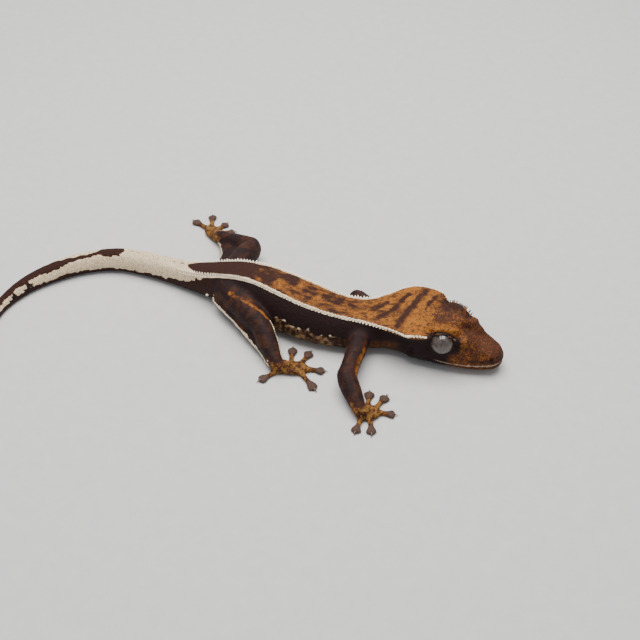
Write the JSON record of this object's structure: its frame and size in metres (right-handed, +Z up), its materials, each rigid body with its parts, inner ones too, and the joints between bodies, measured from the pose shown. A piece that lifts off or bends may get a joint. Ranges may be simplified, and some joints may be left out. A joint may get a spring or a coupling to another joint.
{
  "type": "crested gecko",
  "caption": "Life-size still model of a crested gecko lying with its limbs spread, its tail curled to its right, a spiny crest on each side of the back and wide toe pads.",
  "frame": {"origin": "on the floor under the middle of the belly, in the belly's flat underside", "axes": "+X towards the head, +Y to the animal's left, +Z up from the floor"},
  "size_m": [0.1496, 0.0859, 0.014],
  "materials": {
    "head_skin": "matt granular skin, ochre mottled with dark brown",
    "back_skin": "matt granular skin, dark brown blotched with orange",
    "flank_skin": "matt granular skin, purple brown",
    "tail_skin": "matt smooth skin, cream over dark brown",
    "limb_skin": "matt granular skin, dark brown with orange patches",
    "foot_skin": "matt skin, golden brown with grey brown pads",
    "spine": "cream raised scales",
    "claw": "dark horn",
    "eye": "wet, grey brown with a slit pupil"
  },
  "bodies": {
    "root": {"head": "head_skin", "lower_jaw": "flank_skin", "eye_left": "eye", "eye_right": "eye", "neck": "back_skin", "chest": "back_skin", "belly": "back_skin", "hips": "back_skin", "tail_1": "tail_skin", "tail_2": "tail_skin", "tail_3": "tail_skin", "tail_4": "tail_skin", "tail_5": "tail_skin", "upper_arm_right": "limb_skin", "forearm_right": "limb_skin", "hand_right": "foot_skin", "upper_arm_left": "limb_skin", "forearm_left": "limb_skin", "hand_left": "foot_skin", "thigh_right": "limb_skin", "shin_right": "limb_skin", "foot_right": "foot_skin", "thigh_left": "limb_skin", "shin_left": "limb_skin", "foot_left": "foot_skin"}
  },
  "joints": []
}
